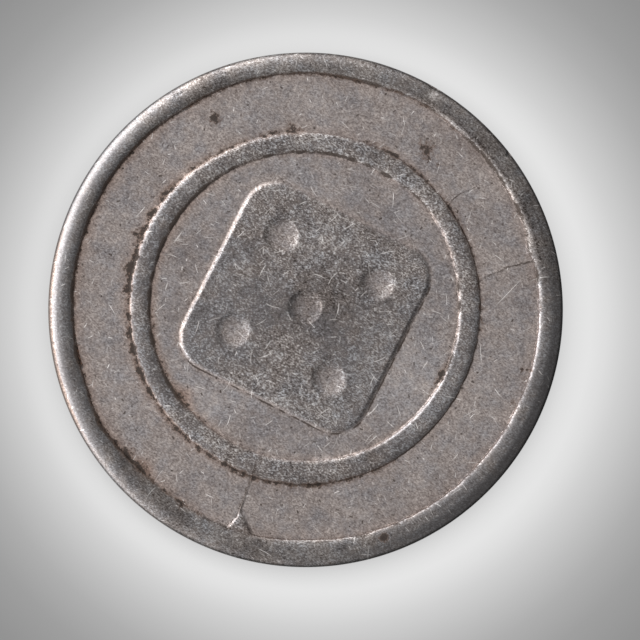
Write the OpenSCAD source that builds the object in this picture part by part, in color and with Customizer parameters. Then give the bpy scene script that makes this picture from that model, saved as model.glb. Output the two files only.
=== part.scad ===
// Game token: a coin-like disc punched from three-ply strip and struck between two dies.
// A steel core carries a bonded nickel sheet on each face. Both sheets are drawn down over
// the corner of the edge, and the core shows as a bare band between them.
// Both faces have a raised rim, a plain raised ring and the five-spot face of a dice.
// The base of the token is at z = 0, its axis is Z, and +Y is the top of the design.

/* [Blank] */
// Diameter over the edge
token_d = 25; // [23:0.5:32]
// Thickness over the two rims
token_t = 2; // [1.8:0.1:2.8]
// Radius of the rounding where the rim turns into the edge
edge_round = 0.45; // [0.25:0.05:0.5]
// Thickness of each nickel sheet
clad_t = 0.15; // [0.1:0.01:0.18]
// Height of the bare steel band round the edge
band_h = 0.7; // [0.3:0.1:0.8]

/* [Rim] */
// Width of the rim, from the edge to its foot
rim_w = 1.15; // [1:0.05:1.6]
// Height of the rim over the field
rim_h = 0.26; // [0.24:0.02:0.34]
// Run of the rim's inner slope
rim_slope = 0.25; // [0.1:0.01:0.3]

/* [Ring] */
// Diameter of the ring at the middle of its width
ring_d = 16.1; // [15.2:0.1:18]
// Width of the ring at its foot
ring_w = 1.05; // [0.8:0.05:1.4]
// Height of the ring over the field
ring_h = 0.16; // [0.12:0.01:0.22]
// Run of each slope of the ring
ring_slope = 0.2; // [0.08:0.02:0.26]
// How far the ring's crowned top falls towards its edges
ring_crown = 0.04; // [0.02:0.01:0.06]

/* [Dice face] */
// Side of the dice face at its foot
dice_w = 10; // [8.4:0.2:10.4]
// Corner radius of the dice face at its foot
dice_round = 1.7; // [1:0.1:2.4]
// Height of the dice face over the field
dice_h = 0.16; // [0.12:0.01:0.22]
// Run of the slope round the dice face
dice_slope = 0.2; // [0.08:0.02:0.26]
// Distance of the outer spots from the middle, along X and along Y
spot_pitch = 2.6; // [2.2:0.1:3]
// Diameter of each spot at its mouth
spot_d = 1.7; // [1.2:0.1:1.9]
// Depth of each spot
spot_depth = 0.12; // [0.08:0.01:0.15]

/* [Die cracks] */
// Height of the raised lines that the cracked die left on the front field
crack_h = 0.06; // [0.03:0.01:0.1]
// Width of those lines at their narrowest
crack_w = 0.1; // [0.06:0.01:0.16]

/* [Hidden] */
$fn = 120;

// Overrun of a cut, and the depth to which a raised form is rooted in the field
cut_over = 0.1;

edge_r = token_d / 2;
half_t = token_t / 2;
field_z = half_t - rim_h;
rim_foot_r = edge_r - rim_w;
ring_r = ring_d / 2;
ring_foot_r = ring_r + ring_w / 2;

// Crown of the ring: an arc that falls by ring_crown over half of the ring's flat width
ring_flat = ring_w / 2 - ring_slope;
ring_arc = (pow(ring_flat, 2) + pow(ring_crown, 2)) / (2 * ring_crown);

// Spots: shallow bowls cut by a ball
dice_flat = dice_w - 2 * dice_round;
spot_ball = (pow(spot_d / 2, 2) + pow(spot_depth, 2)) / (2 * spot_depth);
SPOT_PLACES = [[0, 0], [1, 1], [1, -1], [-1, 1], [-1, -1]];

// Each raised line: [share of the way from the ring's foot to the rim's foot, turn in degrees,
// width as a multiple of crack_w]. A share under 0 or over 1 is rooted in the ring or the rim.
LONG_CRACK_SHARES = [[-0.04, 37.6, 1.4], [0.35, 37.2, 1], [0.7, 38, 1], [1.05, 39.2, 1.6]];
FORKED_CRACK_SHARES =
    [[-0.04, 280.2, 1], [0.45, 280, 1], [0.68, 279.3, 1.8], [0.8, 279.2, 3], [0.92, 279.2, 6], [1.08, 279.4, 13]];
FAINT_CRACK_SHARES = [[-0.04, 63.2, 1], [0.3, 63.4, 0.6], [0.72, 62.6, 0.6], [1.04, 63.8, 1]];

// How far a slope of this rise and run moves sideways when the surface is lowered by skin
function slope_shift(rise, run, skin) = skin * tan(atan2(rise, run) / 2);

// A point at a share of the way from the ring's foot to the rim's foot
function field_point(share, turn) =
    (ring_foot_r + share * (rim_foot_r - ring_foot_r)) * [cos(turn), sin(turn)];

// Half section of one half of the token, from its middle plane up, with every struck
// surface lowered by skin. A skin of 0 is the outside, and clad_t is the steel's surface.
module half_section(skin) {
    shift = slope_shift(rim_h, rim_slope, skin);
    square([rim_foot_r + rim_slope, field_z - skin]);
    difference() {
        polygon([
            [rim_foot_r + shift, 0],
            [rim_foot_r + shift, field_z - skin],
            [rim_foot_r + rim_slope + shift, half_t - skin],
            [edge_r - skin, half_t - skin],
            [edge_r - skin, 0]
        ]);
        translate([edge_r - edge_round, half_t - edge_round])
            difference() {
                square(edge_round + cut_over);
                circle(edge_round - skin);
            }
    }
    ring_section(skin);
}

// Section of the ring: a bank with two slopes, cut to a crown by a large arc
module ring_section(skin) {
    foot = ring_w / 2 - slope_shift(ring_h, ring_slope, skin);
    intersection() {
        translate([ring_r, field_z - skin])
            polygon([
                [-foot, -cut_over],
                [-foot, 0],
                [-foot + ring_slope, ring_h],
                [foot - ring_slope, ring_h],
                [foot, 0],
                [foot, -cut_over]
            ]);
        translate([ring_r, field_z + ring_h - ring_arc])
            circle(ring_arc - skin);
    }
}

// Raised square of the dice face: two banks that cross, with a cone at each corner
module dice_boss(skin) {
    shift = slope_shift(dice_h, dice_slope, skin);
    foot = dice_w / 2 - shift;
    corner_r = dice_round - shift;
    translate([0, 0, field_z - skin]) {
        for (turn = [0, 90])
            rotate(turn)
                rotate([90, 0, 0])
                    linear_extrude(dice_flat, center = true)
                        polygon([
                            [-foot, -cut_over],
                            [-foot, 0],
                            [-foot + dice_slope, dice_h],
                            [foot - dice_slope, dice_h],
                            [foot, 0],
                            [foot, -cut_over]
                        ]);
        for (x = [-1, 1], y = [-1, 1])
            translate([x, y, 0] * dice_flat / 2) {
                cylinder(h = dice_h, r1 = corner_r, r2 = corner_r - dice_slope);
                translate([0, 0, -cut_over])
                    cylinder(h = cut_over, r = corner_r);
            }
    }
}

// The balls that press the five spots into the dice face
module spot_balls(skin) {
    for (place = SPOT_PLACES)
        translate([
            place[0] * spot_pitch,
            place[1] * spot_pitch,
            field_z + dice_h - spot_depth + spot_ball
        ])
            sphere(spot_ball + skin);
}

// One half of the token, from its middle plane up, lowered by skin all over
module struck_half(skin) {
    difference() {
        union() {
            rotate_extrude()
                half_section(skin);
            dice_boss(skin);
        }
        spot_balls(skin);
    }
}

// One raised line on the field, a ribbon that follows its points
module crack_line(shares) {
    points = [for (s = shares) field_point(s[0], s[1])];
    sides = [for (s = shares) crack_w * s[2] / 2 * [-sin(s[1]), cos(s[1])]];
    last = len(shares) - 1;
    translate([0, 0, field_z - cut_over])
        linear_extrude(cut_over + crack_h)
            polygon(concat(
                [for (i = [0 : last]) points[i] + sides[i]],
                [for (i = [last : -1 : 0]) points[i] - sides[i]]
            ));
}

// Moves what was drawn about the token's middle plane up to its place
module on_base() {
    translate([0, 0, half_t])
        children();
}

// Turns a face to the underside
module turned_over() {
    rotate([0, 180, 0])
        children();
}

// One half of the steel core: the bare band at full diameter, and the struck steel over it
module core_half() {
    struck_half(clad_t);
    cylinder(h = band_h / 2, r = edge_r);
}

// One nickel sheet: the struck half above the band, hollowed to fit the core
module cladding() {
    difference() {
        union() {
            struck_half(0);
            children();
        }
        core_half();
    }
}

module front_cladding() {
    color("silver")
        on_base()
            cladding() {
                crack_line(LONG_CRACK_SHARES);
                crack_line(FORKED_CRACK_SHARES);
                crack_line(FAINT_CRACK_SHARES);
            }
}

module back_cladding() {
    color("silver")
        on_base()
            turned_over()
                cladding();
}

module steel_core() {
    color("dimgray")
        on_base() {
            core_half();
            turned_over()
                core_half();
        }
}

front_cladding();
steel_core();
back_cladding();
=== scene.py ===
import math
import bpy
import numpy as np
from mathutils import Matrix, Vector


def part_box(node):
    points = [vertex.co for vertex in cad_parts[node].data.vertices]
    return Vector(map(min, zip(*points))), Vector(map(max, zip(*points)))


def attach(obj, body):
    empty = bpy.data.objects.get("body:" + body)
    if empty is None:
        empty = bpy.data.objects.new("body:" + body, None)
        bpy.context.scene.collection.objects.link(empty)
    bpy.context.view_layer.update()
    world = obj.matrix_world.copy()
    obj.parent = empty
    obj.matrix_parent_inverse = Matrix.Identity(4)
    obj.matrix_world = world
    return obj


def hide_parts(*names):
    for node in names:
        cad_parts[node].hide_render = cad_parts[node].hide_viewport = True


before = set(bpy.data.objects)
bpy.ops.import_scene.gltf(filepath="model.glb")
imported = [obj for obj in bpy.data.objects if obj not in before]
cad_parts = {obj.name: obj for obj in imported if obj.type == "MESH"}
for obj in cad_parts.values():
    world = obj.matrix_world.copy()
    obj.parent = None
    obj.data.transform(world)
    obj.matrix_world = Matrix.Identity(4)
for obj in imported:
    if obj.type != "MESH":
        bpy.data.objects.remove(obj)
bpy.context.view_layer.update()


# Front nickel sheet
# The upper layer of the strip: nickel, 0.15 mm thick, rolled onto the steel and drawn down over
# the corner of the edge when the disc was punched out. The front die struck its relief. Handling
# dulled the field and polished what stands up, and rust crept out at the foot of the relief.

mm = 0.001
front_low, front_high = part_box("front_cladding")
token_r = front_high.x
token_t = front_high.z
lip_z = front_low.z
lip_round = 0.03 * mm
clad_t = 0.15 * mm
edge_round = 0.45 * mm
land_r = token_r - edge_round

# Sizes of the relief. A fullness of 2 is the round shoulder of a circle, and more is squarer.
rim_h = 0.26 * mm
rim_foot_r = token_r - 1.2 * mm
rim_crest_r = token_r - 0.7 * mm
rim_fullness = 2.4
bead_fullness = 1.8
ring_r = 8.015 * mm
ring_half = 0.51 * mm
ring_h = 0.16 * mm
ring_in_fullness = 2.1
ring_out_fullness = 2.4
bank_fullness = 1.35
dice_half = 5 * mm
dice_round = 1.7 * mm
dice_h = 0.16 * mm
dice_slope = 0.24 * mm
dice_crown = 0.035 * mm
spot_pitch = 2.6 * mm
spot_r = 0.85 * mm
spot_depth = 0.12 * mm
SPOT_PLACES = [(0, 0), (1, 1), (1, -1), (-1, 1), (-1, -1)]

# How far off the disc's middle the dies sat, along X and Y
STRIKE_OFF = (-0.085 * mm, 0.1 * mm)

# Raised lines that a cracked die left: share of the way from the ring's foot to the rim's foot,
# turn in degrees, width and height in millimetres
crack_side = 0.06 * mm
LONG_CRACK = [
    (-0.04, 36, 0.2, 0.02), (0.1, 36.5, 0.07, 0.016), (0.3, 37.3, 0.07, 0.014),
    (0.55, 38.2, 0.08, 0.016), (0.6, 38.5, 0.05, 0.012), (0.97, 38.5, 0.06, 0.012),
    (1.05, 38.3, 0.2, 0.02),
]
FORKED_CRACK = [
    (-0.04, 279.7, 0.07, 0.02), (0.3, 279.4, 0.07, 0.02), (0.5, 279.6, 0.08, 0.02),
    (0.68, 279.2, 0.1, 0.04), (0.8, 280.1, 0.45, 0.1), (0.92, 280.4, 0.9, 0.13),
    (1.08, 280.9, 1.5, 0.16),
]
FAINT_CRACK = [
    (-0.04, 62.6, 0.05, 0.01), (0.3, 63.4, 0.03, 0.01), (0.5, 62.4, 0.03, 0.005),
    (0.6, 62.2, 0.02, 0),
]
FRONT_CRACKS = [LONG_CRACK, FORKED_CRACK, FAINT_CRACK]
# How dark the line of painted shade and grime along each thin crack is
CRACK_SHADE_AND_DIRT = [0.9, 0.8, 0.42]

# Where the rim swells inwards: turn and reach in degrees, how far in, and how much less full it is
FRONT_SWELLS = [
    (256, 15, 0.16 * mm, 0.8), (41.5, 2.2, 0.13 * mm, 0), (84, 14, 0.03 * mm, 0.9),
    (337, 50, 0, -0.8), (274, 16, 0, 0.8),
]

# How far the feet of the relief lie off their circles, outwards in millimetres, at every 15 degrees
# from 12 degrees on
FOOT_TURNS = list(range(12, 360, 15))
RIM_FOOT_OFF = [
    0.05, 0.02, -0.01, 0.025, -0.02, 0.12, -0.04, 0.025, 0.062, -0.05, -0.02, -0.03,
    -0.04, -0.04, -0.05, 0.1, 0.06, 0.02, 0, -0.03, 0.04, 0.05, 0.012, 0.04,
]
RING_IN_OFF = [
    -0.05, -0.08, -0.02, 0.08, 0.08, -0.05, -0.03, -0.01, 0, 0.03, 0.02, -0.005,
    -0.005, 0.005, 0.02, 0.03, -0.05, -0.07, -0.08, -0.1, -0.055, 0, -0.02, -0.025,
]
RING_OUT_OFF = [
    -0.015, -0.015, 0, -0.015, -0.04, 0.01, -0.025, 0, -0.005, 0.02, 0.12, 0.1,
    0.034, 0, 0.01, 0.01, -0.015, 0, 0.1, 0.1, 0.055, 0.068, 0, 0,
]

# How far those feet and the cracks waver on top of that
rim_waver = 0.02 * mm
rim_fine_waver = 0.016 * mm
ring_waver = 0.014 * mm
dice_waver = 0.008 * mm
crack_waver = 0.02 * mm

# Where the ring's outer and inner shoulders are straight banks with a flat top, not round ones:
# turn and reach in degrees, and the width of the bank
OUTER_BANK = (151, 48, 0.24 * mm)
INNER_BANK = (331, 66, 0.17 * mm)

# Nicks in the rim and its outer corner: turn in degrees, radius, reach along the rim and across
# it, and depth, in millimetres
FRONT_NICKS = [
    (86.8, 12.3, 0.34, 0.45, 0.07), (64.4, 12.42, 0.14, 0.16, 0.07),
    (289.5, 12.35, 0.12, 0.1, 0.05), (147, 12.1, 0.07, 0.05, 0.05), (154, 12, 0.06, 0.05, 0.04),
    (316, 11.8, 0.1, 0.08, 0.03), (0, 11.75, 0.1, 0.06, 0.03), (110, 12.2, 0.1, 0.08, 0.03),
    (48, 11.9, 0.12, 0.08, 0.03),
]

# Rows of the blank's mesh round the token, and the places where it needs more of them: turn and
# reach in degrees
rows = 540
FRONT_CROWDED = [
    (38, 2), (280, 3.4), (63, 1), (86.8, 1.4), (64.4, 0.8), (11.3, 0.7), (142, 1.2),
]

# Loops of the blank's mesh: from which radius on they lie how far apart, in millimetres
LOOP_STEPS = [
    (0, 0.12), (0.6, 0.05), (1, 0.2), (1.8, 0.08), (3.5, 0.12), (4.7, 0.04), (5.06, 0.26),
    (7.4, 0.03), (7.64, 0.08), (8.4, 0.03), (8.64, 0.22), (10.4, 0.06), (11.14, 0.026),
    (11.4, 0.06),
]
INNER_LOOPS = [0, 4.78, 4.9, 5.02, 6.4, 7.5, 7.68, 8.36, 8.56, 11.33, 11.5, 11.9]

# Slack for telling whether a point lies on a face
hair = 0.001 * mm


def stretch(start, end, step):
    """Evenly spaced values from start up to, but without, end."""
    count = max(1, round(abs(end - start) / step))
    return [start + (end - start) * i / count for i in range(count)]


def eased(share):
    """From 0 to 1, level at both ends, like a slope struck into metal."""
    share = np.clip(share, 0, 1)
    return share * share * (3 - 2 * share)


def wander(turn, first, last, reach, seed):
    """An irregular wave round the token that closes on itself."""
    draw = np.random.default_rng(seed)
    lobes = range(first, last + 1)
    total = np.zeros_like(turn)
    for lobe in lobes:
        total += draw.normal() * np.cos(lobe * turn + draw.uniform(0, 2 * math.pi))
    return reach * total / math.sqrt(len(lobes))


def gap_from(turn, middle):
    """Turn left from a middle given in degrees, from minus half a turn to half a turn."""
    return (turn - np.radians(middle) + math.pi) % (2 * math.pi) - math.pi


def crowd(turn, places):
    """Moves the rows of a spun mesh closer together round the given places."""
    grid = np.linspace(-math.pi, math.pi, 7201)
    density = np.ones_like(grid)
    for middle, reach in places:
        density += 7 * np.exp(-((gap_from(grid, middle) / math.radians(reach)) ** 4))
    run = np.concatenate([[0], np.cumsum((density[1:] + density[:-1]) / 2)])
    return np.interp((turn + math.pi) / (2 * math.pi), run / run[-1], grid)


def square_reach(turn, half, corner):
    """How far the outline of a rounded square lies from its middle, in the direction of turn."""
    folded = np.abs((turn + math.pi / 4) % (math.pi / 2) - math.pi / 4)
    side = half / np.cos(folded)
    middle = half - corner
    along = middle * (np.cos(folded) + np.sin(folded))
    arc = along + np.sqrt(np.maximum(along**2 - 2 * middle**2 + corner**2, 0))
    return np.where(half * np.tan(folded) <= middle, side, arc)


def shoulder(share, fullness=2):
    """Height of a rounded shoulder, from 1 where share is 0 down to 0 where it is 1."""
    return (1 - np.clip(share, 0, 1) ** fullness) ** (1 / fullness)


def square_distance(x, y, half, corner):
    """Distance outwards from the outline of a rounded square, negative inside it."""
    over_x = np.abs(x) - half + corner
    over_y = np.abs(y) - half + corner
    outside = np.hypot(np.maximum(over_x, 0), np.maximum(over_y, 0))
    return outside + np.minimum(np.maximum(over_x, over_y), 0) - corner


def loop_reach(station, turn):
    """Bends the spun disc's loops to the outline of the dice face, and back to circles outside."""
    corner = np.maximum(dice_round - dice_half + station, 0.3 * station)
    bent = square_reach(turn, station, corner)
    share = eased((station - 1.0 * mm) / (0.7 * mm))
    share = share * (1 - eased((station - 5.2 * mm) / (2.1 * mm)))
    return station + share * (bent - station)


def beside_crack(r, turn, points, seed):
    """Distance from the middle of one raised line, its half width and its height."""
    inner, outer = ring_r + ring_half, rim_foot_r
    shares, turns, widths, heights = (np.array(column) for column in zip(*points))
    places = inner + shares * (outer - inner)
    draw = np.random.default_rng(seed)
    jag = np.interp(r, np.linspace(inner, outer, 24), draw.normal(0, crack_waver, 24))
    aside = r * gap_from(turn, np.interp(r, places, turns)) + jag
    there = (r > ring_r) & (r < min(rim_crest_r, places[-1]))
    half = np.interp(r, places, widths) * mm / 2
    return aside, half, np.interp(r, places, heights) * mm * there


def off_circle(turn, offs):
    """How far one foot of the relief lies off its circle, in the direction of turn."""
    return np.interp(np.degrees(turn), FOOT_TURNS, offs, period=360) * mm


def rim_foot(turn, swells, seed, fine=True):
    """Radius of the rim's foot, and how full its inner shoulder is, in the direction of turn."""
    foot = rim_foot_r + off_circle(turn, RIM_FOOT_OFF)
    if fine:
        foot = foot + wander(turn, 3, 24, rim_waver, seed)
        foot = foot + wander(turn, 30, 130, rim_fine_waver, seed + 4)
    fullness = rim_fullness + 0 * turn
    for middle, reach, inwards, slack in swells:
        share = np.exp(-((gap_from(turn, middle) / math.radians(reach)) ** 2))
        foot = foot - share * inwards
        fullness = fullness - share * slack
    return foot, fullness


def across_ring(r, turn, seed, fine=True):
    """Place across the ring, from -1 at its inner foot to 1 at its outer foot."""
    inner = ring_r - ring_half + off_circle(turn, RING_IN_OFF)
    outer = ring_r + ring_half + off_circle(turn, RING_OUT_OFF)
    off = wander(turn, 4, 110, ring_waver, seed + 1) if fine else 0
    return (2 * (r + off) - inner - outer) / (outer - inner)


def relief(x, y, seed, cracks=(), swells=(), fine=True):
    """Height of the struck surface over the field."""
    r = np.hypot(x, y)
    turn = np.arctan2(y, x)
    foot, fullness = rim_foot(turn, swells, seed, fine)
    rim = rim_h * shoulder((rim_crest_r - r) / (rim_crest_r - foot), fullness)

    across = across_ring(r, turn, seed, fine)
    fullness = np.where(across < 0, ring_in_fullness, ring_out_fullness)
    ring = ring_h * shoulder(np.abs(across), fullness)
    for (middle, reach, width), there in ((OUTER_BANK, across > 0), (INNER_BANK, across < 0)):
        share = there * np.exp(-((gap_from(turn, middle) / math.radians(reach)) ** 4))
        bank = ring_h * shoulder(1 - (1 - np.abs(across)) * ring_half / width, bank_fullness)
        ring = np.where(np.abs(across) < 1, ring + share * (bank - ring), ring)

    inside = -square_distance(x, y, dice_half, dice_round)
    inside = inside + (wander(turn, 4, 60, dice_waver, seed + 2) if fine else 0)
    dice = (dice_h - dice_crown * (np.hypot(x, y) / dice_half) ** 2) * eased(inside / dice_slope)
    if fine:
        for right, up in SPOT_PLACES:
            gap = np.hypot(x - right * spot_pitch, y - up * spot_pitch) / spot_r
            dice = dice - spot_depth * np.maximum(1 - gap**3, 0) * eased((1.06 - gap) / 0.12)
    height = np.maximum(np.maximum(rim, ring), np.maximum(dice, 0))
    for i, points in enumerate(cracks):
        aside, half, top = beside_crack(r, turn, points, seed + 10 + i)
        side = np.maximum(crack_side, 1.25 * top)
        height = np.maximum(height, top * np.clip((half - np.abs(aside)) / side + 0.5, 0, 1))
    return height


def pick(piece):
    """Selects one piece alone and makes it the active one."""
    bpy.ops.object.select_all(action="DESELECT")
    piece.select_set(True)
    bpy.context.view_layer.objects.active = piece


def spin_section(name, section, steps):
    """Spins a section, given as radius and height, into a piece round the token's axis."""
    mesh = bpy.data.meshes.new(name)
    edges = [(i, i + 1) for i in range(len(section) - 1)]
    mesh.from_pydata([(r, 0, z) for r, z in section], edges, [])
    piece = bpy.data.objects.new(name, mesh)
    bpy.context.collection.objects.link(piece)
    pick(piece)
    bpy.ops.object.modifier_add(type="SCREW")
    lathe = piece.modifiers[-1]
    lathe.steps = lathe.render_steps = steps
    lathe.use_merge_vertices = True
    lathe.merge_threshold = 0.0001 * mm
    bpy.ops.object.modifier_apply(modifier=lathe.name)
    bpy.ops.object.mode_set(mode="EDIT")
    bpy.ops.mesh.select_all(action="SELECT")
    bpy.ops.mesh.normals_make_consistent(inside=False)
    bpy.ops.object.mode_set(mode="OBJECT")
    return piece


def smooth_out(piece):
    """Shades a piece smooth, but for its sharp corners."""
    pick(piece)
    bpy.ops.object.shade_smooth_by_angle(angle=math.radians(36))


def read_places(piece):
    """The places of a piece's points, one row each."""
    places = np.empty(len(piece.data.vertices) * 3)
    piece.data.vertices.foreach_get("co", places)
    return places.reshape(-1, 3)


def write_places(piece, places):
    """Moves a piece's points to new places."""
    piece.data.vertices.foreach_set("co", places.ravel())
    piece.data.update()


def strike(places, seed, cracks, swells, crowded, nicks):
    """Presses a die into a flat blank. Returns its new places, and where each is in the design."""
    station = np.hypot(places[:, 0], places[:, 1])
    turn = crowd(np.arctan2(places[:, 1], places[:, 0]), crowded)
    struck = station < rim_crest_r - hair
    reach = np.where(struck, loop_reach(station, turn), station)
    x, y = reach * np.cos(turn), reach * np.sin(turn)
    on_top = places[:, 2] > token_t - hair
    height = np.where(on_top, relief(x, y, seed, cracks, swells), relief(x, y, seed, fine=False))
    sunk = np.where(struck, rim_h - height, 0)
    pull = 1 - eased((station - rim_foot_r) / (rim_crest_r - rim_foot_r))
    moved = np.stack([x + STRIKE_OFF[0] * pull, y + STRIKE_OFF[1] * pull, places[:, 2] - sunk], 1)
    inwards = eased((station - rim_crest_r) / (token_r - rim_crest_r))
    lean = np.stack([inwards * np.cos(turn), inwards * np.sin(turn), 1 - inwards / 2], 1)
    for middle, away, along, across, deep in nicks:
        gap = np.hypot(away * gap_from(turn, middle) / along, (station / mm - away) / across)
        low = deep * mm * np.exp(-(gap**2)) * (places[:, 2] > lip_z + edge_round / 2)
        moved -= low[:, None] * lean
    return moved, x, y


def inner_section(top):
    """Section of the face where a nickel sheet lies on the steel, from the band to the axis."""
    arc_r = edge_round - clad_t
    arc = [
        (land_r + arc_r * math.cos(a), top - edge_round + arc_r * math.sin(a))
        for a in np.radians([0, 22, 45, 68, 90])
    ]
    flat = [(away * mm, top - clad_t) for away in reversed(INNER_LOOPS)]
    return arc + flat


def nickel_sheet(name, seed, cracks, swells, crowded, nicks):
    """One nickel sheet, spun as a blank and struck. Returns it and its points in the design."""
    starts = [start * mm for start, _ in LOOP_STEPS]
    ends = starts[1:] + [rim_crest_r]
    face = []
    for start, end, (_, step) in zip(starts, ends, LOOP_STEPS):
        face += [(station, token_t) for station in stretch(start, end, step * mm)]
    bead_w = token_r - rim_crest_r
    bead = [
        (rim_crest_r + bead_w * share, token_t - edge_round * (1 - shoulder(share, bead_fullness)))
        for share in np.sin(np.radians(np.linspace(0, 90, 24))) ** 0.9
    ]
    wall_z = token_t - edge_round
    wall = [
        (token_r, wall_z - 0.06 * mm),
        (token_r, wall_z - 0.12 * mm),
        (token_r, lip_z + lip_round),
        (token_r - 0.3 * lip_round, lip_z + 0.3 * lip_round),
        (token_r - lip_round, lip_z),
        (token_r - clad_t, lip_z),
    ]
    piece = spin_section(name, face + bead + wall + inner_section(token_t), rows)
    moved, x, y = strike(read_places(piece), seed, cracks, swells, crowded, nicks)
    write_places(piece, moved)
    smooth_out(piece)
    return piece, x, y


front_seed = 11
front_sheet, front_x, front_y = nickel_sheet(
    "front_sheet", front_seed, FRONT_CRACKS, FRONT_SWELLS, FRONT_CROWDED, FRONT_NICKS)
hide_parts("front_cladding")
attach(front_sheet, "root")

# What the front went through. Turns are in degrees, radii and reaches in millimetres.
FRONT_WEAR = {
    # Rust along the ring's outer foot, the rim's foot and the ring's inner foot: turns, strength
    "ring_rust": [
        (117, 327, 0.4), (166, 262, 0.2), (58, 96, 0.45), (37, 58, 0.28), (16, 33, 0.28),
        (262, 300, 0.15),
    ],
    "rim_rust": [(105, 268, 0.34), (236, 258, 0.25), (74, 110, 0.25)],
    "inner_rust": [(205, 262, 0.3), (325, 345, 0.15), (352, 368, 0.5)],
    # Single rust marks: turn, radius, reach, strength
    "rust_marks": [
        (142.5, 10.16, 0.35, 0.56), (142.5, 10.16, 0.16, 0.56), (79, 9.6, 0.5, 0.46),
        (79.5, 9.7, 0.22, 0.42), (121, 8.7, 0.26, 0.6), (77, 9.35, 0.14, 0.4), (82, 9.75, 0.1, 0.3),
        (158, 10.8, 0.1, 0.7), (131, 10.8, 0.09, 0.7), (316, 11.73, 0.18, 1.4),
        (11.1, 10.95, 0.09, 1), (11.3, 11.2, 0.08, 0.8), (11.5, 11.4, 0.08, 0.8),
        (183.3, 8.98, 0.26, 0.6), (190.4, 8.56, 0.18, 0.75), (194.3, 8.84, 0.34, 0.6),
        (201.2, 8.75, 0.24, 0.6), (209.2, 8.58, 0.16, 0.5), (215.2, 8.62, 0.2, 0.5),
        (221, 8.65, 0.2, 0.5), (228, 8.65, 0.2, 0.45), (176, 8.78, 0.2, 0.52),
        (168, 8.78, 0.2, 0.5), (156, 8.72, 0.16, 0.4), (150, 8.7, 0.16, 0.5), (74, 9.5, 0.2, 0.3),
        (242, 7.5, 0.22, 0.45), (246.4, 11.08, 0.4, 0.38), (251.4, 11.1, 0.38, 0.4),
        (264.9, 11.3, 0.2, 0.5), (270, 11.3, 0.16, 0.5), (0.9, 7.4, 0.25, 0.5),
        (2.6, 11.15, 0.15, 0.6), (27, 11.4, 0.14, 0.4),
    ],
    # Grime and painted shade outside the ring, inside it, at the rim and round the dice face, most
    # of it on the side of each foot turned from the light: turns, strength
    "grime_and_shade_turns": (
        [(270, 425, 1), (204, 250, 0.42)],
        [(105, 256, 1), (64, 105, 0.75), (-60, -20, 0.25), (0, 52, 0.6)],
        [(100, 256, 1), (256, 286, 0.55), (66, 104, 0.75), (33, 68, 1.15), (304, 320, 0.2),
         (-60, 30, 0.5)],
        [(225, 400, 1)],
    ),
    # Darker metal, or lighter under 0: turn, radius, reach, strength. These are the dark patch in
    # the middle, dull stretches of the rim, a few drops, broad lighter places in the fields, and
    # two nicks in the rim painted lighter as painted highlights.
    "stains_and_highlights": [
        (0, 0.4, 1.9, 1.2), (250, 11.7, 0.9, 0.8), (266, 11.8, 1.1, 1), (284, 11.95, 1.1, 1),
        (52, 11.8, 0.8, 0.8), (71, 11.7, 0.9, 1), (138, 12.3, 0.9, 1.2), (222, 12.35, 0.9, 0.7),
        (180, 6.3, 1.1, 0.9), (207, 6.5, 1, 0.6), (190, 10.2, 0.5, 0.5), (355, 8, 1, 0.4),
        (320, 8, 0.9, 0.4), (355, 6.6, 2, -1.2), (252, 6.8, 1.1, -1), (0, 10, 1.6, -0.4),
        (115, 10, 1.6, -0.5), (86.8, 12.1, 0.26, -1.6), (64.4, 12.3, 0.14, -1.6),
    ],
    # Dull stretches of the rim's inner side: turns, strength
    "dull_sides": [(32, 94, 1.5), (300, 342, 0.6), (0, 32, 0.5)],
    # Drops that dried and left the metal tea brown: turn, radius, reach
    "tea": [(243.4, 7.1, 0.5), (252, 11, 0.4)],
}

# Where hands rubbed the raised parts smooth, where the brown beside the feet is strongest, and
# where the outer corner carries a painted reflection of the floor, brown and darker: turns in
# degrees
RUBBED_TURNS = [(160, 245), (318, 390)]
BROWN_SIDE = (150, 262)
CORNER_REFLECTION_TURNS = (190, 236)

# How far each kind of wear, and the painted shade, reaches from the foot of the relief where it
# sits
grime_and_shade_reach = 0.05 * mm
ring_grime_and_shade_reach = 0.12 * mm
rim_grime_and_shade_reach = 0.13 * mm
crack_shade_and_dirt_reach = 0.07 * mm
ring_brown_reach = 0.36 * mm
rim_brown_reach = 0.4 * mm
dice_brown_reach = 0.25 * mm
ring_rust_reach = 0.13 * mm
rust_reach = 0.11 * mm
dull_reach = 0.12 * mm
dull_r = 11.67 * mm


def window(turn, start, end, soft=12):
    """1 between two turns in degrees and 0 outside, with soft ends."""
    middle, half = (start + end) / 2, (end - start) / 2
    return eased((half - np.degrees(np.abs(gap_from(turn, middle)))) / soft + 0.5)


def line(gap, reach):
    """1 on a line and 0 away from it, at a given distance from it."""
    return np.exp(-((gap / reach) ** 2))


def drop(x, y, middle, away, reach):
    """1 in the middle of a round mark and 0 away from it."""
    a = math.radians(middle)
    return line(np.hypot(x - away * mm * math.cos(a), y - away * mm * math.sin(a)), reach * mm)


def write_mask(piece, name, values):
    """Gives every point of a piece a number that its material reads."""
    piece.data.attributes.new(name, "FLOAT", "POINT").data.foreach_set("value", values)


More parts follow.
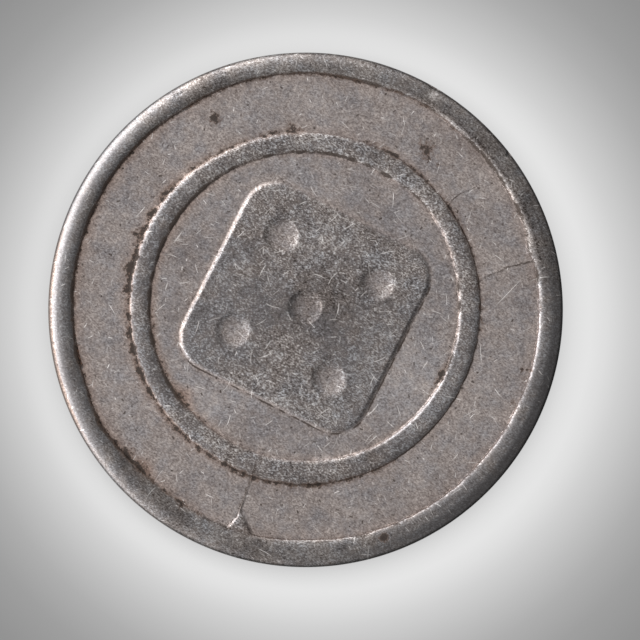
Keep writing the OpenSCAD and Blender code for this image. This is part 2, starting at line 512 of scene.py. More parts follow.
def write_wear(piece, x, y, seed, cracks, swells, ring_rust, rim_rust, inner_rust, rust_marks,
               grime_and_shade_turns, stains_and_highlights, dull_sides, tea):
    """Writes what stands up, what hands rubbed, and where grime and painted shade, a painted
    reflection, brown, rust, stains and painted highlights are.
    """
    r = np.hypot(x, y)
    turn = np.arctan2(y, x)
    height = relief(x, y, seed, cracks, swells)
    foot, _ = rim_foot(turn, swells, seed)
    across = across_ring(r, turn, seed)
    from_ring = ring_half * across
    from_dice = square_distance(x, y, dice_half, dice_round)

    on_rim = eased((r - foot) / (0.15 * mm))
    write_mask(piece, "raised", np.maximum(on_rim, eased(height / (0.75 * ring_h))))
    write_mask(piece, "rim", on_rim)

    # Hands rub the shoulders most
    smooth = sum(window(turn, start, end, 40) for start, end in RUBBED_TURNS)
    steep = np.maximum(line(r - foot - 0.08 * mm, 0.12 * mm), line(np.abs(across) - 0.9, 0.22))
    steep = np.maximum(steep, eased((r - rim_crest_r) / (0.25 * mm)))
    write_mask(piece, "polish", np.clip(smooth, 0, 1) * (0.5 + 0.5 * steep))

    patchy = np.clip(1 + wander(turn, 2, 60, 0.5, seed + 5), 0.3, 1.6)
    outside, inside, at_rim, at_dice = (
        0.12 + sum(share * window(turn, start, end, 16) for start, end, share in spans)
        for spans in grime_and_shade_turns
    )
    # Grime at the feet of the relief, and painted shade there, strongest on the side turned from
    # the light
    grime_and_shade = outside * line(from_ring - ring_half, grime_and_shade_reach)
    in_ring = inside * line(from_ring + ring_half - 0.06 * mm, ring_grime_and_shade_reach)
    grime_and_shade = np.maximum(grime_and_shade, in_ring)
    grime_and_shade = np.maximum(grime_and_shade, 0.8 * at_rim * line(r - foot - 0.07 * mm, rim_grime_and_shade_reach))
    grime_and_shade = np.maximum(grime_and_shade, at_dice * line(from_dice, grime_and_shade_reach)) * patchy
    for right, up in SPOT_PLACES:
        gap = np.hypot(x - right * spot_pitch, y - up * spot_pitch)
        grime_and_shade = np.maximum(grime_and_shade, 0.45 * eased((spot_r - gap) / (0.3 * mm)))
    # Grime beside one flank of each crack, and a dark line along the thin ones that is painted
    # shade of the ridge as well as grime
    for i, points in enumerate(cracks):
        aside, half, top = beside_crack(r, turn, points, seed + 10 + i)
        flank = (aside < 0) * line(np.abs(aside) - half - top / 2, grime_and_shade_reach)
        along = (half < 0.06 * mm) * CRACK_SHADE_AND_DIRT[i] * line(aside, crack_shade_and_dirt_reach)
        grime_and_shade = np.maximum(grime_and_shade, (top > 0) * np.maximum(flank, along))
    # Painted reflection of the floor on the outer corner, on the side towards the light: darker and
    # brown
    corner = 0.5 * window(turn, *CORNER_REFLECTION_TURNS, 20) * eased((r - token_r + 0.24 * mm) / (0.08 * mm))
    write_mask(piece, "grime_and_shade", np.maximum(grime_and_shade, corner))

    # Brown comes out beside every foot of the relief, most on one side. Inside the ring the metal
    # is cooler.
    def beside(gap, reach):
        return line(gap, np.where(gap > 0, reach, 0.1 * mm))

    warm = beside(np.abs(from_ring) - ring_half, ring_brown_reach)
    warm = np.maximum(warm, beside(foot - r, rim_brown_reach))
    warm = np.maximum(warm, 0.5 * beside(from_dice, dice_brown_reach))
    warm *= 0.26 + 0.42 * window(turn, *BROWN_SIDE, 40)
    warm -= 0.3 * eased((-from_ring - ring_half) / (0.6 * mm)) * eased(from_dice / (0.4 * mm))
    warm += sum(drop(x, y, *mark) for mark in tea)
    # The painted reflection on the outer corner is browned as well
    write_mask(piece, "warm", warm + 2.4 * corner)

    patchy = np.clip(1 + wander(turn, 6, 110, 0.45, seed + 6), 0.3, 1.8)
    outer_foot = patchy * line(from_ring - ring_half - 0.03 * mm, ring_rust_reach)
    rim_side = patchy * line(r - foot + 0.02 * mm, rust_reach)
    inner_foot = line(from_ring + ring_half + 0.08 * mm, rust_reach)
    rust = np.zeros_like(r)
    for spans, lie in ((ring_rust, outer_foot), (rim_rust, rim_side), (inner_rust, inner_foot)):
        for start, end, share in spans:
            rust += share * window(turn, start, end) * lie
    for *mark, share in rust_marks:
        rust += share * drop(x, y, *mark)
    write_mask(piece, "rust", rust)

    # Stains, and lighter tone at two nicks in the front rim that is a painted highlight
    stain_and_highlight = sum(share * drop(x, y, *mark) for *mark, share in stains_and_highlights)
    for start, end, share in dull_sides:
        stain_and_highlight += share * window(turn, start, end, 20) * line(r - dull_r, dull_reach)
    write_mask(piece, "stain_and_highlight", stain_and_highlight)


write_wear(front_sheet, front_x, front_y, front_seed, FRONT_CRACKS, FRONT_SWELLS, **FRONT_WEAR)


def linear(code):
    """An sRGB hex colour as linear red, green, blue and alpha."""
    parts = [int(code[i : i + 2], 16) / 255 for i in (1, 3, 5)]
    return tuple(p / 12.92 if p <= 0.04045 else ((p + 0.055) / 1.055) ** 2.4 for p in parts) + (1,)


def coloured(stops):
    """The stops of a ramp, from hex colours."""
    return [(where, linear(code)) for where, code in stops]


def add(tree, kind, inputs=None, output=0, stops=(), **settings):
    """Adds a node with its settings, a ramp's stops, and its inputs, which are set or linked.

    Returns one of its outputs, or nothing where it has none.
    """
    node = tree.nodes.new(kind)
    for name, value in settings.items():
        setattr(node, name, value)
    for key, value in (inputs or {}).items():
        if isinstance(value, bpy.types.NodeSocket):
            tree.links.new(value, node.inputs[key])
        else:
            node.inputs[key].default_value = value
    for i, (where, colour) in enumerate(stops):
        elements = node.color_ramp.elements
        element = elements[i] if i < len(elements) else elements.new(1)
        element.position = where
        element.color = colour
    return node.outputs[output] if node.outputs else None


def new_material(name):
    """A material without nodes, and its node tree."""
    material = bpy.data.materials.new(name)
    material.use_nodes = True
    material.node_tree.nodes.clear()
    return material, material.node_tree


def scratches(tree, place, cell, length, width, shown, seed):
    """Short marks that lie all ways, each a little bent, in some of the cells of a random net."""
    scaled = add(tree, "ShaderNodeVectorMath", {0: place, "Scale": 1 / cell}, operation="SCALE")
    shift = (seed * 7.3, seed * 3.1, 0)
    shifted = add(tree, "ShaderNodeVectorMath", {0: scaled, 1: shift}, operation="ADD")
    net = add(tree, "ShaderNodeTexVoronoi", {"Vector": shifted, "Scale": 1.0},
              voronoi_dimensions="2D").node
    local = add(tree, "ShaderNodeVectorMath", {0: shifted, 1: net.outputs["Position"]},
                operation="SUBTRACT")
    chance = add(tree, "ShaderNodeSeparateColor", {0: net.outputs["Color"]}).node
    turn = add(tree, "ShaderNodeMath", {0: chance.outputs[0], 1: 2 * math.pi}, operation="MULTIPLY")
    turned = add(tree, "ShaderNodeVectorRotate", {"Vector": local, "Angle": turn},
                 rotation_type="Z_AXIS")
    sides = add(tree, "ShaderNodeSeparateXYZ", {0: turned}).node
    bend = add(tree, "ShaderNodeMath", {0: chance.outputs[2], 1: 0.4}, operation="MULTIPLY")
    bow = add(tree, "ShaderNodeMath", {0: sides.outputs[0], 1: 2.0}, operation="POWER")
    bent = add(tree, "ShaderNodeMath", {0: bend, 1: bow, 2: sides.outputs[1]},
               operation="MULTIPLY_ADD")
    along = add(tree, "ShaderNodeMath", {0: sides.outputs[0]}, operation="ABSOLUTE")
    aside = add(tree, "ShaderNodeMath", {0: bent}, operation="ABSOLUTE")
    reach = add(tree, "ShaderNodeMapRange", {
        "Value": chance.outputs[2], "To Min": 0.2 * length / cell, "To Max": 0.5 * length / cell,
    })
    left = add(tree, "ShaderNodeMath", {0: reach, 1: along}, operation="SUBTRACT")
    ends = add(tree, "ShaderNodeMapRange", {"Value": left, "From Max": 0.12 * length / cell})
    body = add(tree, "ShaderNodeMapRange", {
        "Value": aside, "From Min": width / cell / 2, "From Max": width / cell / 6,
    })
    there = add(tree, "ShaderNodeMapRange", {"Value": chance.outputs[1], "From Min": 1 - shown})
    mark = add(tree, "ShaderNodeMath", {0: ends, 1: body}, operation="MULTIPLY")
    return add(tree, "ShaderNodeMath", {0: mark, 1: there}, operation="MULTIPLY")


def cut(tree, place, start, end, half):
    """One straight scratch between two points, given in millimetres with half its width."""
    middle = ((start[0] + end[0]) / 2 * mm, (start[1] + end[1]) / 2 * mm, 0)
    length = math.dist(start, end) * mm
    lie = -math.atan2(end[1] - start[1], end[0] - start[0])
    local = add(tree, "ShaderNodeVectorMath", {0: place, 1: middle}, operation="SUBTRACT")
    turned = add(tree, "ShaderNodeVectorRotate", {"Vector": local, "Angle": lie},
                 rotation_type="Z_AXIS")
    sides = add(tree, "ShaderNodeSeparateXYZ", {0: turned}).node
    along = add(tree, "ShaderNodeMath", {0: sides.outputs[0]}, operation="ABSOLUTE")
    aside = add(tree, "ShaderNodeMath", {0: sides.outputs[1]}, operation="ABSOLUTE")
    ends = add(tree, "ShaderNodeMapRange", {
        "Value": along, "From Min": length / 2, "From Max": length / 4,
    })
    body = add(tree, "ShaderNodeMapRange", {
        "Value": aside, "From Min": half * mm, "From Max": 0.0, "To Max": 0.7,
    })
    return add(tree, "ShaderNodeMath", {0: ends, 1: body}, operation="MULTIPLY")


def brushed(tree, place, choice, size):
    """Fine grain that runs one way in some places and another way in the others."""
    runs = []
    for turn in (0.5, 2.2):
        run = add(tree, "ShaderNodeMapping", {
            "Vector": place, "Rotation": (0, 0, turn), "Scale": (0.66, 1.06, 1),
        })
        grain = add(tree, "ShaderNodeTexNoise", {"Vector": run, "Scale": 1 / size, "Detail": 1.0})
        runs.append(grain)
    share = add(tree, "ShaderNodeMapRange", {"Value": choice, "From Min": 0.46, "From Max": 0.54})
    return add(tree, "ShaderNodeMix", {0: share, 2: runs[0], 3: runs[1]})


# Nickel, rolled and struck, then dulled by handling: warm grey and finely pitted in the fields,
# cooler and more speckled on the raised tops and darker there, which is partly painted shade of
# the dark room that they mirror, with short bright scratches that carry a painted glint, dark
# grime and painted shade in the corners of the relief, a painted reflection on the outer corner,
# and brown rust that grew out of pinholes in the nickel.
FIELD_TONES = [(0.3, "#695f5b"), (0.5, "#9b918d"), (0.7, "#cac0bb")]
# The raised tops and the rim are darker than the fields, partly as painted shade of the dark room
# they mirror
RAISED_TONES_WITH_SHADE = [(0.3, "#322a26"), (0.5, "#89807c"), (0.7, "#f0ebe8")]
RIM_TONES_WITH_SHADE = [(0.3, "#443c38"), (0.5, "#8d8581"), (0.7, "#d5d0cd")]
RUST_TONES = [(0.1, "#665044"), (0.7, "#261c15")]
cool_tint = "#ecf3fb"
brown_tint = "#fff0e7"
# Near white scratches: fresh metal, with a painted glint
scratch_and_glint_colour = "#f4efec"
# Dark brown for grime and for the painted shade at the feet of the relief
grime_and_shade_colour = "#3a2f28"
rust_edge_colour = "#7c6659"

# Sizes in the nickel. The grain of a die is finer, and is drawn as coarse as it needs to show.
grain_size = 0.066 * mm
speck_size = 0.15 * mm
rust_size = 0.19 * mm
cloud_size = 0.6 * mm
hue_size = 1.1 * mm
patch_size = 2.6 * mm

# Small marks: size of the net's cells, a mark's length and width, and the share of cells with one
SHORT_SCRATCHES = (0.42 * mm, 0.36 * mm, 0.045 * mm, 0.42)
LONG_SCRATCHES = (1.2 * mm, 1.1 * mm, 0.045 * mm, 0.5)
INNER_SCRATCHES = (0.85 * mm, 0.8 * mm, 0.045 * mm, 0.62)
PITS = (0.5 * mm, 0.2 * mm, 0.12 * mm, 0.5)

# Single long scratches: both ends and half the width, in millimetres
FRONT_CUTS = [
    ((8.67, 6.14), (8.08, 4.2), 0.024), ((-7.05, 0.73), (-7.19, -0.05), 0.035),
    ((9.33, -0.17), (9.43, -0.48), 0.035), ((8.42, -2.98), (8.5, -3.35), 0.035),
    ((8.27, 2.42), (8.79, 1.54), 0.03), ((-6.58, -1.82), (-6.5, -2.27), 0.035),
]

# A Mix node takes its share at 0 and numbers at 2 and 3, or with these settings colours at 6 and 7
COLOURS = {"output": 2, "data_type": "RGBA"}


def worn_nickel(name, seed, cuts):
    """The nickel of one face, which reads what its piece carries."""
    material, tree = new_material(name)
    on_piece = add(tree, "ShaderNodeTexCoord", output="Object")
    away = (seed * 31 * mm, 0, 0)
    place = add(tree, "ShaderNodeMapping", {"Vector": on_piece, "Location": away})
    raised, on_rim, grime_and_shade, rust, stain_and_highlight, polish, warm = (
        add(tree, "ShaderNodeAttribute", output="Fac", attribute_name=mask)
        for mask in ("raised", "rim", "grime_and_shade", "rust", "stain_and_highlight", "polish", "warm")
    )
    hue = add(tree, "ShaderNodeTexNoise", {
        "Vector": place, "Scale": 1 / hue_size, "Detail": 6.0, "Roughness": 0.7,
    })
    grain = brushed(tree, place, hue, grain_size)
    specks, clouds, patches = (
        add(tree, "ShaderNodeTexNoise", {"Vector": place, "Scale": 1 / size, "Detail": detail})
        for size, detail in ((speck_size, 2.0), (cloud_size, 2.0), (patch_size, 1.0))
    )

    # Stains darken the tone, and the painted highlights at two nicks lighten it
    tone = 0.0
    parts = ((grain, 0.56), (specks, 0.2), (clouds, 0.14), (patches, 0.1), (stain_and_highlight, -0.07))
    for part, share in parts:
        tone = add(tree, "ShaderNodeMath", {0: part, 1: share, 2: tone}, operation="MULTIPLY_ADD")
    rubbed = add(tree, "ShaderNodeMath", {0: polish, 1: raised}, operation="MULTIPLY")
    calm = add(tree, "ShaderNodeMapRange", {"Value": rubbed, "To Max": 0.56})
    tone = add(tree, "ShaderNodeMix", {0: calm, 2: tone, 3: 0.5})
    low, high, edge = (
        add(tree, "ShaderNodeValToRGB", {0: tone}, stops=coloured(tones))
        for tones in (FIELD_TONES, RAISED_TONES_WITH_SHADE, RIM_TONES_WITH_SHADE)
    )
    base = add(tree, "ShaderNodeMix", {0: raised, 6: low, 7: high}, **COLOURS)
    base = add(tree, "ShaderNodeMix", {0: on_rim, 6: base, 7: edge}, **COLOURS)

    # The metal is warmer in some places and cooler in others, cool where it is rubbed, and brown
    # beside the feet of the relief
    cooler = add(tree, "ShaderNodeMath", {0: warm, 1: -0.2, 2: hue}, operation="MULTIPLY_ADD")
    cooler = add(tree, "ShaderNodeMath", {0: rubbed, 1: 0.2, 2: cooler}, operation="MULTIPLY_ADD")
    cool = add(tree, "ShaderNodeMapRange", {"Value": cooler, "From Min": 0.42, "From Max": 0.66})
    brown = add(tree, "ShaderNodeMath", {0: specks, 1: 0.8, 2: 0.6}, operation="MULTIPLY_ADD")
    brown = add(tree, "ShaderNodeMath", {0: warm, 1: brown}, operation="MULTIPLY", use_clamp=True)
    for share, tint in ((cool, cool_tint), (brown, brown_tint)):
        base = add(tree, "ShaderNodeMix", {0: share, 6: base, 7: linear(tint)},
                   blend_type="MULTIPLY", **COLOURS)

    # Scratches come in groups, most of them fine, and there are more inside the ring. They are near
    # white: fresh metal, with a painted glint
    short = scratches(tree, place, *SHORT_SCRATCHES, seed)
    long = scratches(tree, place, *LONG_SCRATCHES, seed + 3)
    both = add(tree, "ShaderNodeMath", {0: short, 1: long}, operation="MAXIMUM")
    grouped = add(tree, "ShaderNodeMapRange", {
        "Value": clouds, "From Min": 0.38, "From Max": 0.6, "To Min": 0.12,
    })
    marks = add(tree, "ShaderNodeMath", {0: both, 1: grouped}, operation="MULTIPLY")
    away = add(tree, "ShaderNodeVectorMath", {0: on_piece}, output="Value", operation="LENGTH")
    inside = add(tree, "ShaderNodeMapRange", {
        "Value": away, "From Min": 7.6 * mm, "From Max": 7.2 * mm, "To Max": 0.75,
    })
    more = scratches(tree, place, *INNER_SCRATCHES, seed + 5)
    more = add(tree, "ShaderNodeMath", {0: more, 1: inside}, operation="MULTIPLY")
    for mark in [more] + [cut(tree, on_piece, *ends) for ends in cuts]:
        marks = add(tree, "ShaderNodeMath", {0: marks, 1: mark}, operation="MAXIMUM")
    base = add(tree, "ShaderNodeMix", {0: marks, 6: base, 7: linear(scratch_and_glint_colour)}, **COLOURS)

    # Grime and painted shade thin out where the grain stands up, and grime fills the pits that
    # hands didn't rub out
    held = add(tree, "ShaderNodeMath", {0: grime_and_shade, 1: 1.5, 2: -0.1}, operation="MULTIPLY_ADD")
    uneven = add(tree, "ShaderNodeMath", {0: grain, 1: 0.8, 2: specks}, operation="MULTIPLY_ADD")
    caught = add(tree, "ShaderNodeMath", {0: held, 1: uneven}, operation="SUBTRACT")
    filled = add(tree, "ShaderNodeMapRange", {
        "Value": caught, "From Min": -0.4, "From Max": 0.5, "To Max": 0.9,
    })
    pits = scratches(tree, place, *PITS, seed + 7)
    open_pits = add(tree, "ShaderNodeMath", {0: pits, 1: rubbed}, operation="SUBTRACT")
    dirty = add(tree, "ShaderNodeMath", {0: open_pits, 1: filled}, operation="MAXIMUM")
    # Grime and painted shade darken the metal to dark brown
    base = add(tree, "ShaderNodeMix", {0: dirty, 6: base, 7: linear(grime_and_shade_colour)}, **COLOURS)

    # Rust shows where its own noise reaches over the strength that the piece carries
    spread = add(tree, "ShaderNodeTexNoise", {
        "Vector": place, "Scale": 1 / rust_size, "Detail": 4.0, "Roughness": 0.7,
    })
    wider = add(tree, "ShaderNodeMapRange", {"Value": spread, "From Min": 0.28, "From Max": 0.72})
    grown = add(tree, "ShaderNodeMath", {0: wider, 1: rust}, operation="ADD")
    grown = add(tree, "ShaderNodeMath", {0: grain, 1: 0.6, 2: grown}, operation="MULTIPLY_ADD")
    there = add(tree, "ShaderNodeMapRange", {"Value": rust, "From Min": 0.05, "From Max": 0.2})
    halo = add(tree, "ShaderNodeMapRange", {
        "Value": grown, "From Min": 0.92, "From Max": 1.25, "To Max": 0.42,
    })
    crust = add(tree, "ShaderNodeMapRange", {
        "Value": grown, "From Min": 1.12, "From Max": 1.38, "To Max": 0.9,
    })
    halo = add(tree, "ShaderNodeMath", {0: halo, 1: there}, operation="MULTIPLY")
    crust = add(tree, "ShaderNodeMath", {0: crust, 1: there}, operation="MULTIPLY")
    core = add(tree, "ShaderNodeMath", {0: grain, 1: 0.7, 2: grown}, operation="MULTIPLY_ADD")
    core = add(tree, "ShaderNodeMapRange", {"Value": core, "From Min": 1.36, "From Max": 1.92})
    dark = add(tree, "ShaderNodeValToRGB", {0: core}, stops=coloured(RUST_TONES))
    base = add(tree, "ShaderNodeMix", {0: halo, 6: base, 7: linear(rust_edge_colour)}, **COLOURS)
    base = add(tree, "ShaderNodeMix", {0: crust, 6: base, 7: dark}, **COLOURS)

    # Grime, painted shade and rust are matt, and the raised parts are smoother the more they were
    # rubbed
    cover = add(tree, "ShaderNodeMath", {0: dirty, 1: crust}, operation="MAXIMUM")
    metal = add(tree, "ShaderNodeMapRange", {"Value": cover, "To Min": 1.0, "To Max": 0.25})
    matt = add(tree, "ShaderNodeMapRange", {"Value": raised, "To Min": 0.46, "To Max": 0.38})
    smooth = add(tree, "ShaderNodeMix", {0: on_rim, 2: matt, 3: 0.24})
    smooth = add(tree, "ShaderNodeMath", {0: rubbed, 1: -0.08, 2: smooth}, operation="MULTIPLY_ADD")
    rough = add(tree, "ShaderNodeMix", {0: cover, 2: smooth, 3: 0.75})
    stood = add(tree, "ShaderNodeMath", {0: specks, 1: 1.6, 2: grain}, operation="MULTIPLY_ADD")
    height = add(tree, "ShaderNodeMath", {0: stood, 1: marks}, operation="SUBTRACT")
    firm = add(tree, "ShaderNodeMapRange", {"Value": on_rim, "To Min": 0.5, "To Max": 0.14})
    firm = add(tree, "ShaderNodeMath", {0: rubbed, 1: -0.12, 2: firm}, operation="MULTIPLY_ADD")
    bump = add(tree, "ShaderNodeBump", {"Strength": firm, "Distance": 0.008 * mm, "Height": height})
    shader = add(tree, "ShaderNodeBsdfPrincipled", {
        "Base Color": base, "Metallic": metal, "Roughness": rough, "Normal": bump,
    })
    add(tree, "ShaderNodeOutputMaterial", {"Surface": shader})
    return material


front_sheet.data.materials.append(worn_nickel("struck_nickel_front", 1, FRONT_CUTS))


# Steel core
# The middle layer of the strip: mild steel, 1.7 mm thick under the rims. Only its band shows,
# cut by the punch and pressed smooth in the collar, and darkened by light rust.

band_low_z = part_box("back_cladding")[1].z
band_high_z = lip_z
band_in = 0.01 * mm
band_corner = 0.03 * mm
band_step = 0.1 * mm


def turned_over(places):
    """Turns places over to the underside, round the Y axis of the token's middle plane."""
    return places * (-1, 1, -1) + (0, 0, token_t)


upper = inner_section(token_t)[::-1]
lower = [(r, token_t - z) for r, z in inner_section(token_t)]
band_steps = stretch(band_high_z - band_step, band_low_z + band_corner, band_step)
band = [
    (token_r - clad_t, band_high_z),
    (token_r - band_in - band_corner, band_high_z),
    (token_r - band_in, band_high_z - band_corner),
    *((token_r - band_in, z) for z in band_steps),
    (token_r - band_in, band_low_z + band_corner),
    (token_r - band_in - band_corner, band_low_z),
    (token_r - clad_t, band_low_z),
]
steel_disc = spin_section("steel_disc", upper + band + lower, rows // 2)
core_places = read_places(steel_disc)
above = core_places[:, 2] > token_t / 2
upright = np.where(above[:, None], core_places, turned_over(core_places))
pressed, _, _ = strike(upright, front_seed, (), (), (), ())
in_relief = np.hypot(core_places[:, 0], core_places[:, 1]) < rim_crest_r
pressed = np.where(in_relief[:, None], pressed, upright)
write_places(steel_disc, np.where(above[:, None], pressed, turned_over(pressed)))
smooth_out(steel_disc)
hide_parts("steel_core")
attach(steel_disc, "root")

# Mild steel, punched and pressed in a collar: grey, drawn into fine upright lines where the punch
# cut it and rough where it tore, with light brown rust along both seams.
STEEL_TONES = [(0.35, "#3b342f"), (0.5, "#6b635d"), (0.66, "#8f8780")]
BAND_RUST_TONES = [(0.35, "#3a261b"), (0.65, "#6e4c38")]
sheared_size = 0.1 * mm
torn_size = 0.09 * mm
band_patch_size = 0.7 * mm


def punched_steel(name):
    """The steel of the band, cut smooth in its upper half and torn in its lower half."""
    material, tree = new_material(name)
    place = add(tree, "ShaderNodeTexCoord", output="Object")
    streaks = add(tree, "ShaderNodeMapping", {"Vector": place, "Scale": (1, 1, 0.12)})
    sheared, torn, patches = (
        add(tree, "ShaderNodeTexNoise", {"Vector": where, "Scale": 1 / size, "Detail": detail})
        for where, size, detail in (
            (streaks, sheared_size, 3.0), (place, torn_size, 2.0), (place, band_patch_size, 5.0))
    )
    up = add(tree, "ShaderNodeSeparateXYZ", {0: place}, output=2)
    waved = add(tree, "ShaderNodeMath", {0: patches, 1: 0.5 * mm, 2: up}, operation="MULTIPLY_ADD")
    smooth_part = add(tree, "ShaderNodeMapRange", {
        "Value": waved, "From Min": token_t / 2 + 0.16 * mm, "From Max": token_t / 2 + 0.26 * mm,
    })
    height = add(tree, "ShaderNodeMix", {0: smooth_part, 2: torn, 3: sheared})
    base = add(tree, "ShaderNodeValToRGB", {0: height}, stops=coloured(STEEL_TONES))

    # Light rust, most where the band meets the nickel
    off_middle = add(tree, "ShaderNodeMath", {0: up, 1: token_t / 2}, operation="SUBTRACT")
    off_middle = add(tree, "ShaderNodeMath", {0: off_middle}, operation="ABSOLUTE")
    seam = add(tree, "ShaderNodeMapRange", {
        "Value": off_middle, "From Min": 0.24 * mm, "From Max": 0.35 * mm, "To Max": 0.16,
    })
    rusty = add(tree, "ShaderNodeMath", {0: patches, 1: seam}, operation="ADD")
    rusty = add(tree, "ShaderNodeMath", {0: torn, 1: 0.3, 2: rusty}, operation="MULTIPLY_ADD")
    rusty = add(tree, "ShaderNodeMapRange", {
        "Value": rusty, "From Min": 0.66, "From Max": 0.8, "To Max": 0.85,
    })
    brown = add(tree, "ShaderNodeValToRGB", {0: torn}, stops=coloured(BAND_RUST_TONES))
    base = add(tree, "ShaderNodeMix", {0: rusty, 6: base, 7: brown}, **COLOURS)
    metal = add(tree, "ShaderNodeMapRange", {"Value": rusty, "To Min": 1.0, "To Max": 0.1})
    rough = add(tree, "ShaderNodeMapRange", {"Value": rusty, "To Min": 0.42, "To Max": 0.8})
    bump = add(tree, "ShaderNodeBump", {"Strength": 0.7, "Distance": 0.012 * mm, "Height": height})
    shader = add(tree, "ShaderNodeBsdfPrincipled", {
        "Base Color": base, "Metallic": metal, "Roughness": rough, "Normal": bump,
    })
    add(tree, "ShaderNodeOutputMaterial", {"Surface": shader})
    return material


steel_disc.data.materials.append(punched_steel("punched_steel"))


# Back nickel sheet
# The lower layer of the strip, the same nickel as the front. The back die struck the same relief,
# without the cracks, and this side has its own wear. The tables are laid out as the front's are.

back_seed = 31
BACK_SWELLS = [(118, 11, 0.08 * mm, 0.7), (305, 17, 0.05 * mm, 0.5)]
BACK_NICKS = [
    (30, 12.3, 0.25, 0.2, 0.06), (200, 12.4, 0.14, 0.12, 0.08), (262, 12, 0.1, 0.08, 0.04),
]
BACK_WEAR = {
    "ring_rust": [(20, 190, 0.3), (60, 110, 0.25)],
    "rim_rust": [(300, 420, 0.3), (150, 200, 0.35)],
    "inner_rust": [(90, 160, 0.3)],
    "rust_marks": [(200, 10, 0.4, 0.5), (310, 9.6, 0.25, 0.6), (95, 6.4, 0.3, 0.5)],
    "grime_and_shade_turns": ([(10, 200, 1)], [(180, 400, 1)], [(60, 330, 1)], [(-60, 200, 1)]),
    "stains_and_highlights": [(0, 0.3, 1.6, 0.8), (200, 10, 1.2, 0.4), (60, 11.6, 0.9, 0.7), (320, 6.4, 1.1, 0.4)],
    "dull_sides": [(200, 260, 0.8)],
    "tea": [(130, 9.9, 0.6)],
}
BACK_CUTS = [((3.1, 8.9), (5.6, 7.3), 0.03), ((-9.4, -3.2), (-7.9, -4.9), 0.03)]

back_sheet, back_x, back_y = nickel_sheet("back_sheet", back_seed, (), BACK_SWELLS, (), BACK_NICKS)
write_wear(back_sheet, back_x, back_y, back_seed, (), BACK_SWELLS, **BACK_WEAR)
write_places(back_sheet, turned_over(read_places(back_sheet)))
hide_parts("back_cladding")
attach(back_sheet, "root")
back_sheet.data.materials.append(worn_nickel("struck_nickel_back", 2, BACK_CUTS))


# Table, light and camera
# A pale board under the token that glows, with a painted pool of light and a painted shadow, one
# large soft light from the upper left, and the camera straight above, turned so that the design
# stands 27 degrees clockwise in the picture.

design_turn = 27
frame_px = 640
token_r_px = 256.8
token_px = (305.6, 309.9)
metres_per_px = token_r / token_r_px
camera_far = 0.25
board_r = 1.2

bpy.ops.mesh.primitive_circle_add(vertices=96, radius=board_r, fill_type="NGON", location=(0, 0, 0))
table = bpy.context.object
table.name = "table"
table.visible_glossy = False

camera_turn = math.radians(design_turn)
right = np.array([math.cos(camera_turn), math.sin(camera_turn)])
up = np.array([-math.sin(camera_turn), math.cos(camera_turn)])
off_right = (frame_px / 2 - token_px[0]) * metres_per_px
off_up = (token_px[1] - frame_px / 2) * metres_per_px
aim = right * off_right + up * off_up


def greys(stops):
    """The stops of a ramp, from shares of white."""
    return [(where, (tone, tone, tone, 1)) for where, tone in stops]


# Painted board that glows: mostly its own emission, matt and pale, with a painted pool of light,
# brightest round the token and darker away from it. Each tone is given at a share of
# light_pool_fade from the middle of the picture.
light_pool_fade = 25 * mm
BOARD_LIGHT_POOL_TONES = [
    (0, 0.80), (0.53, 0.80), (0.56, 0.74), (0.6, 0.635), (0.66, 0.515), (0.715, 0.42),
    (0.785, 0.342), (0.87, 0.29), (1, 0.26),
]
# Share of the board's brightness that is painted glow, and the painted shadow round the token: its
# reach, depth and the way it leans
glow_share = 0.93
shadow_reach = 1.5 * mm
shadow_depth = 0.63
shade_turn = math.radians(55 + design_turn)

board, tree = new_material("glowing_board")
place = add(tree, "ShaderNodeTexCoord", output="Object")
away = add(tree, "ShaderNodeVectorMath", {0: place, 1: (aim[0], aim[1], 0)}, output="Value",
           operation="DISTANCE")
falloff = add(tree, "ShaderNodeMapRange", {"Value": away, "From Max": light_pool_fade})
light_pool_tone = add(tree, "ShaderNodeValToRGB", {0: falloff}, stops=greys(BOARD_LIGHT_POOL_TONES))
lean = (0.22 * math.cos(shade_turn), 0.22 * math.sin(shade_turn), 0)
flat = add(tree, "ShaderNodeNewGeometry", output="Normal")
leaning = add(tree, "ShaderNodeVectorMath", {0: flat, 1: lean}, operation="ADD")
leaning = add(tree, "ShaderNodeVectorMath", {0: leaning}, operation="NORMALIZE")
# Painted shadow: the board's glow is dimmed where the occlusion node finds the token near, more on
# one side
open_sky = add(tree, "ShaderNodeAmbientOcclusion", {"Distance": shadow_reach, "Normal": leaning},
               output="AO", samples=8)
closed = add(tree, "ShaderNodeMath", {0: 1.0, 1: open_sky}, operation="SUBTRACT")
closed = add(tree, "ShaderNodeMath", {0: closed, 1: 1.6}, operation="POWER")
glow_and_painted_shadow = add(tree, "ShaderNodeMath", {0: closed, 1: -shadow_depth * glow_share, 2: glow_share},
          operation="MULTIPLY_ADD")
painted = add(tree, "ShaderNodeVectorMath", {0: light_pool_tone, "Scale": 1 - glow_share},
              operation="SCALE")
# Most of the board's brightness is its own glow, which carries the painted pool of light and the
# painted shadow
shader = add(tree, "ShaderNodeBsdfPrincipled", {
    "Base Color": painted, "Roughness": 0.9, "Specular IOR Level": 0.0,
    "Emission Color": light_pool_tone, "Emission Strength": glow_and_painted_shadow,
})
add(tree, "ShaderNodeOutputMaterial", {"Surface": shader})
table.data.materials.append(board)

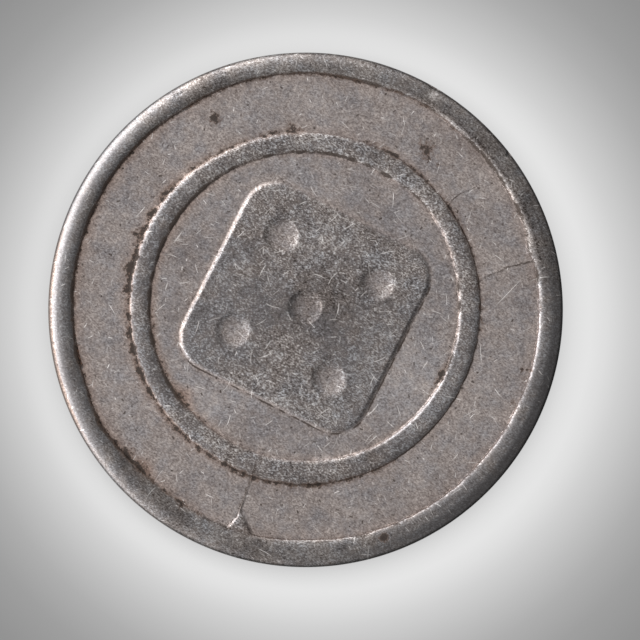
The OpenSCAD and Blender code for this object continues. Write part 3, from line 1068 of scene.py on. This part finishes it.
# The room: bright to the left of the picture, dim overhead and dark to the right, and a plain grey
# where the camera sees it
light_turn = math.radians(160 + design_turn)
light_rise = math.radians(-27)
towards = (
    math.cos(light_turn) * math.cos(light_rise),
    math.sin(light_turn) * math.cos(light_rise),
    math.sin(light_rise),
)
ROOM_TONES = [
    (0, 0.039), (0.06, 0.047), (0.15, 0.073), (0.28, 0.104), (0.34, 0.136), (0.44, 0.193),
    (0.57, 0.277), (0.64, 0.5), (0.72, 0.67), (0.79, 0.85), (0.87, 1), (1, 1),
]
room_strength = 5.5
backdrop_grey = 0.45

world = bpy.data.worlds.new("studio")
world.use_nodes = True
tree = world.node_tree
tree.nodes.clear()
aim_at = add(tree, "ShaderNodeTexCoord", output="Generated")
facing = add(tree, "ShaderNodeVectorMath", {0: aim_at, 1: towards}, output="Value",
             operation="DOT_PRODUCT")
share = add(tree, "ShaderNodeMapRange", {"Value": facing, "From Min": -1.0})
room_tone = add(tree, "ShaderNodeValToRGB", {0: share}, stops=greys(ROOM_TONES))
height = add(tree, "ShaderNodeSeparateXYZ", {0: aim_at}, output=2)
over = add(tree, "ShaderNodeMapRange", {
    "Value": height, "From Min": -0.3, "From Max": 0.3, "To Min": 0.12,
})
strength = add(tree, "ShaderNodeMath", {0: over, 1: room_strength}, operation="MULTIPLY")
room = add(tree, "ShaderNodeBackground", {"Color": room_tone, "Strength": strength})
backdrop = (backdrop_grey, backdrop_grey, backdrop_grey, 1)
plain = add(tree, "ShaderNodeBackground", {"Color": backdrop, "Strength": 1.0})
seen = add(tree, "ShaderNodeLightPath", output="Is Camera Ray")
mixed = add(tree, "ShaderNodeMixShader", {0: seen, 1: room, 2: plain})
add(tree, "ShaderNodeOutputWorld", {"Surface": mixed})
bpy.context.scene.world = world

camera_data = bpy.data.cameras.new("camera")
camera = bpy.data.objects.new("camera", camera_data)
bpy.context.scene.collection.objects.link(camera)
camera_data.sensor_width = 36
camera_data.lens = camera_data.sensor_width * camera_far / (frame_px * metres_per_px)
camera_data.clip_start = 0.01
camera_data.clip_end = 5
camera.location = (aim[0], aim[1], camera_far + token_t / 2)
camera.rotation_euler = (0, 0, camera_turn)
bpy.context.scene.camera = camera
bpy.context.scene.view_settings.view_transform = "Standard"
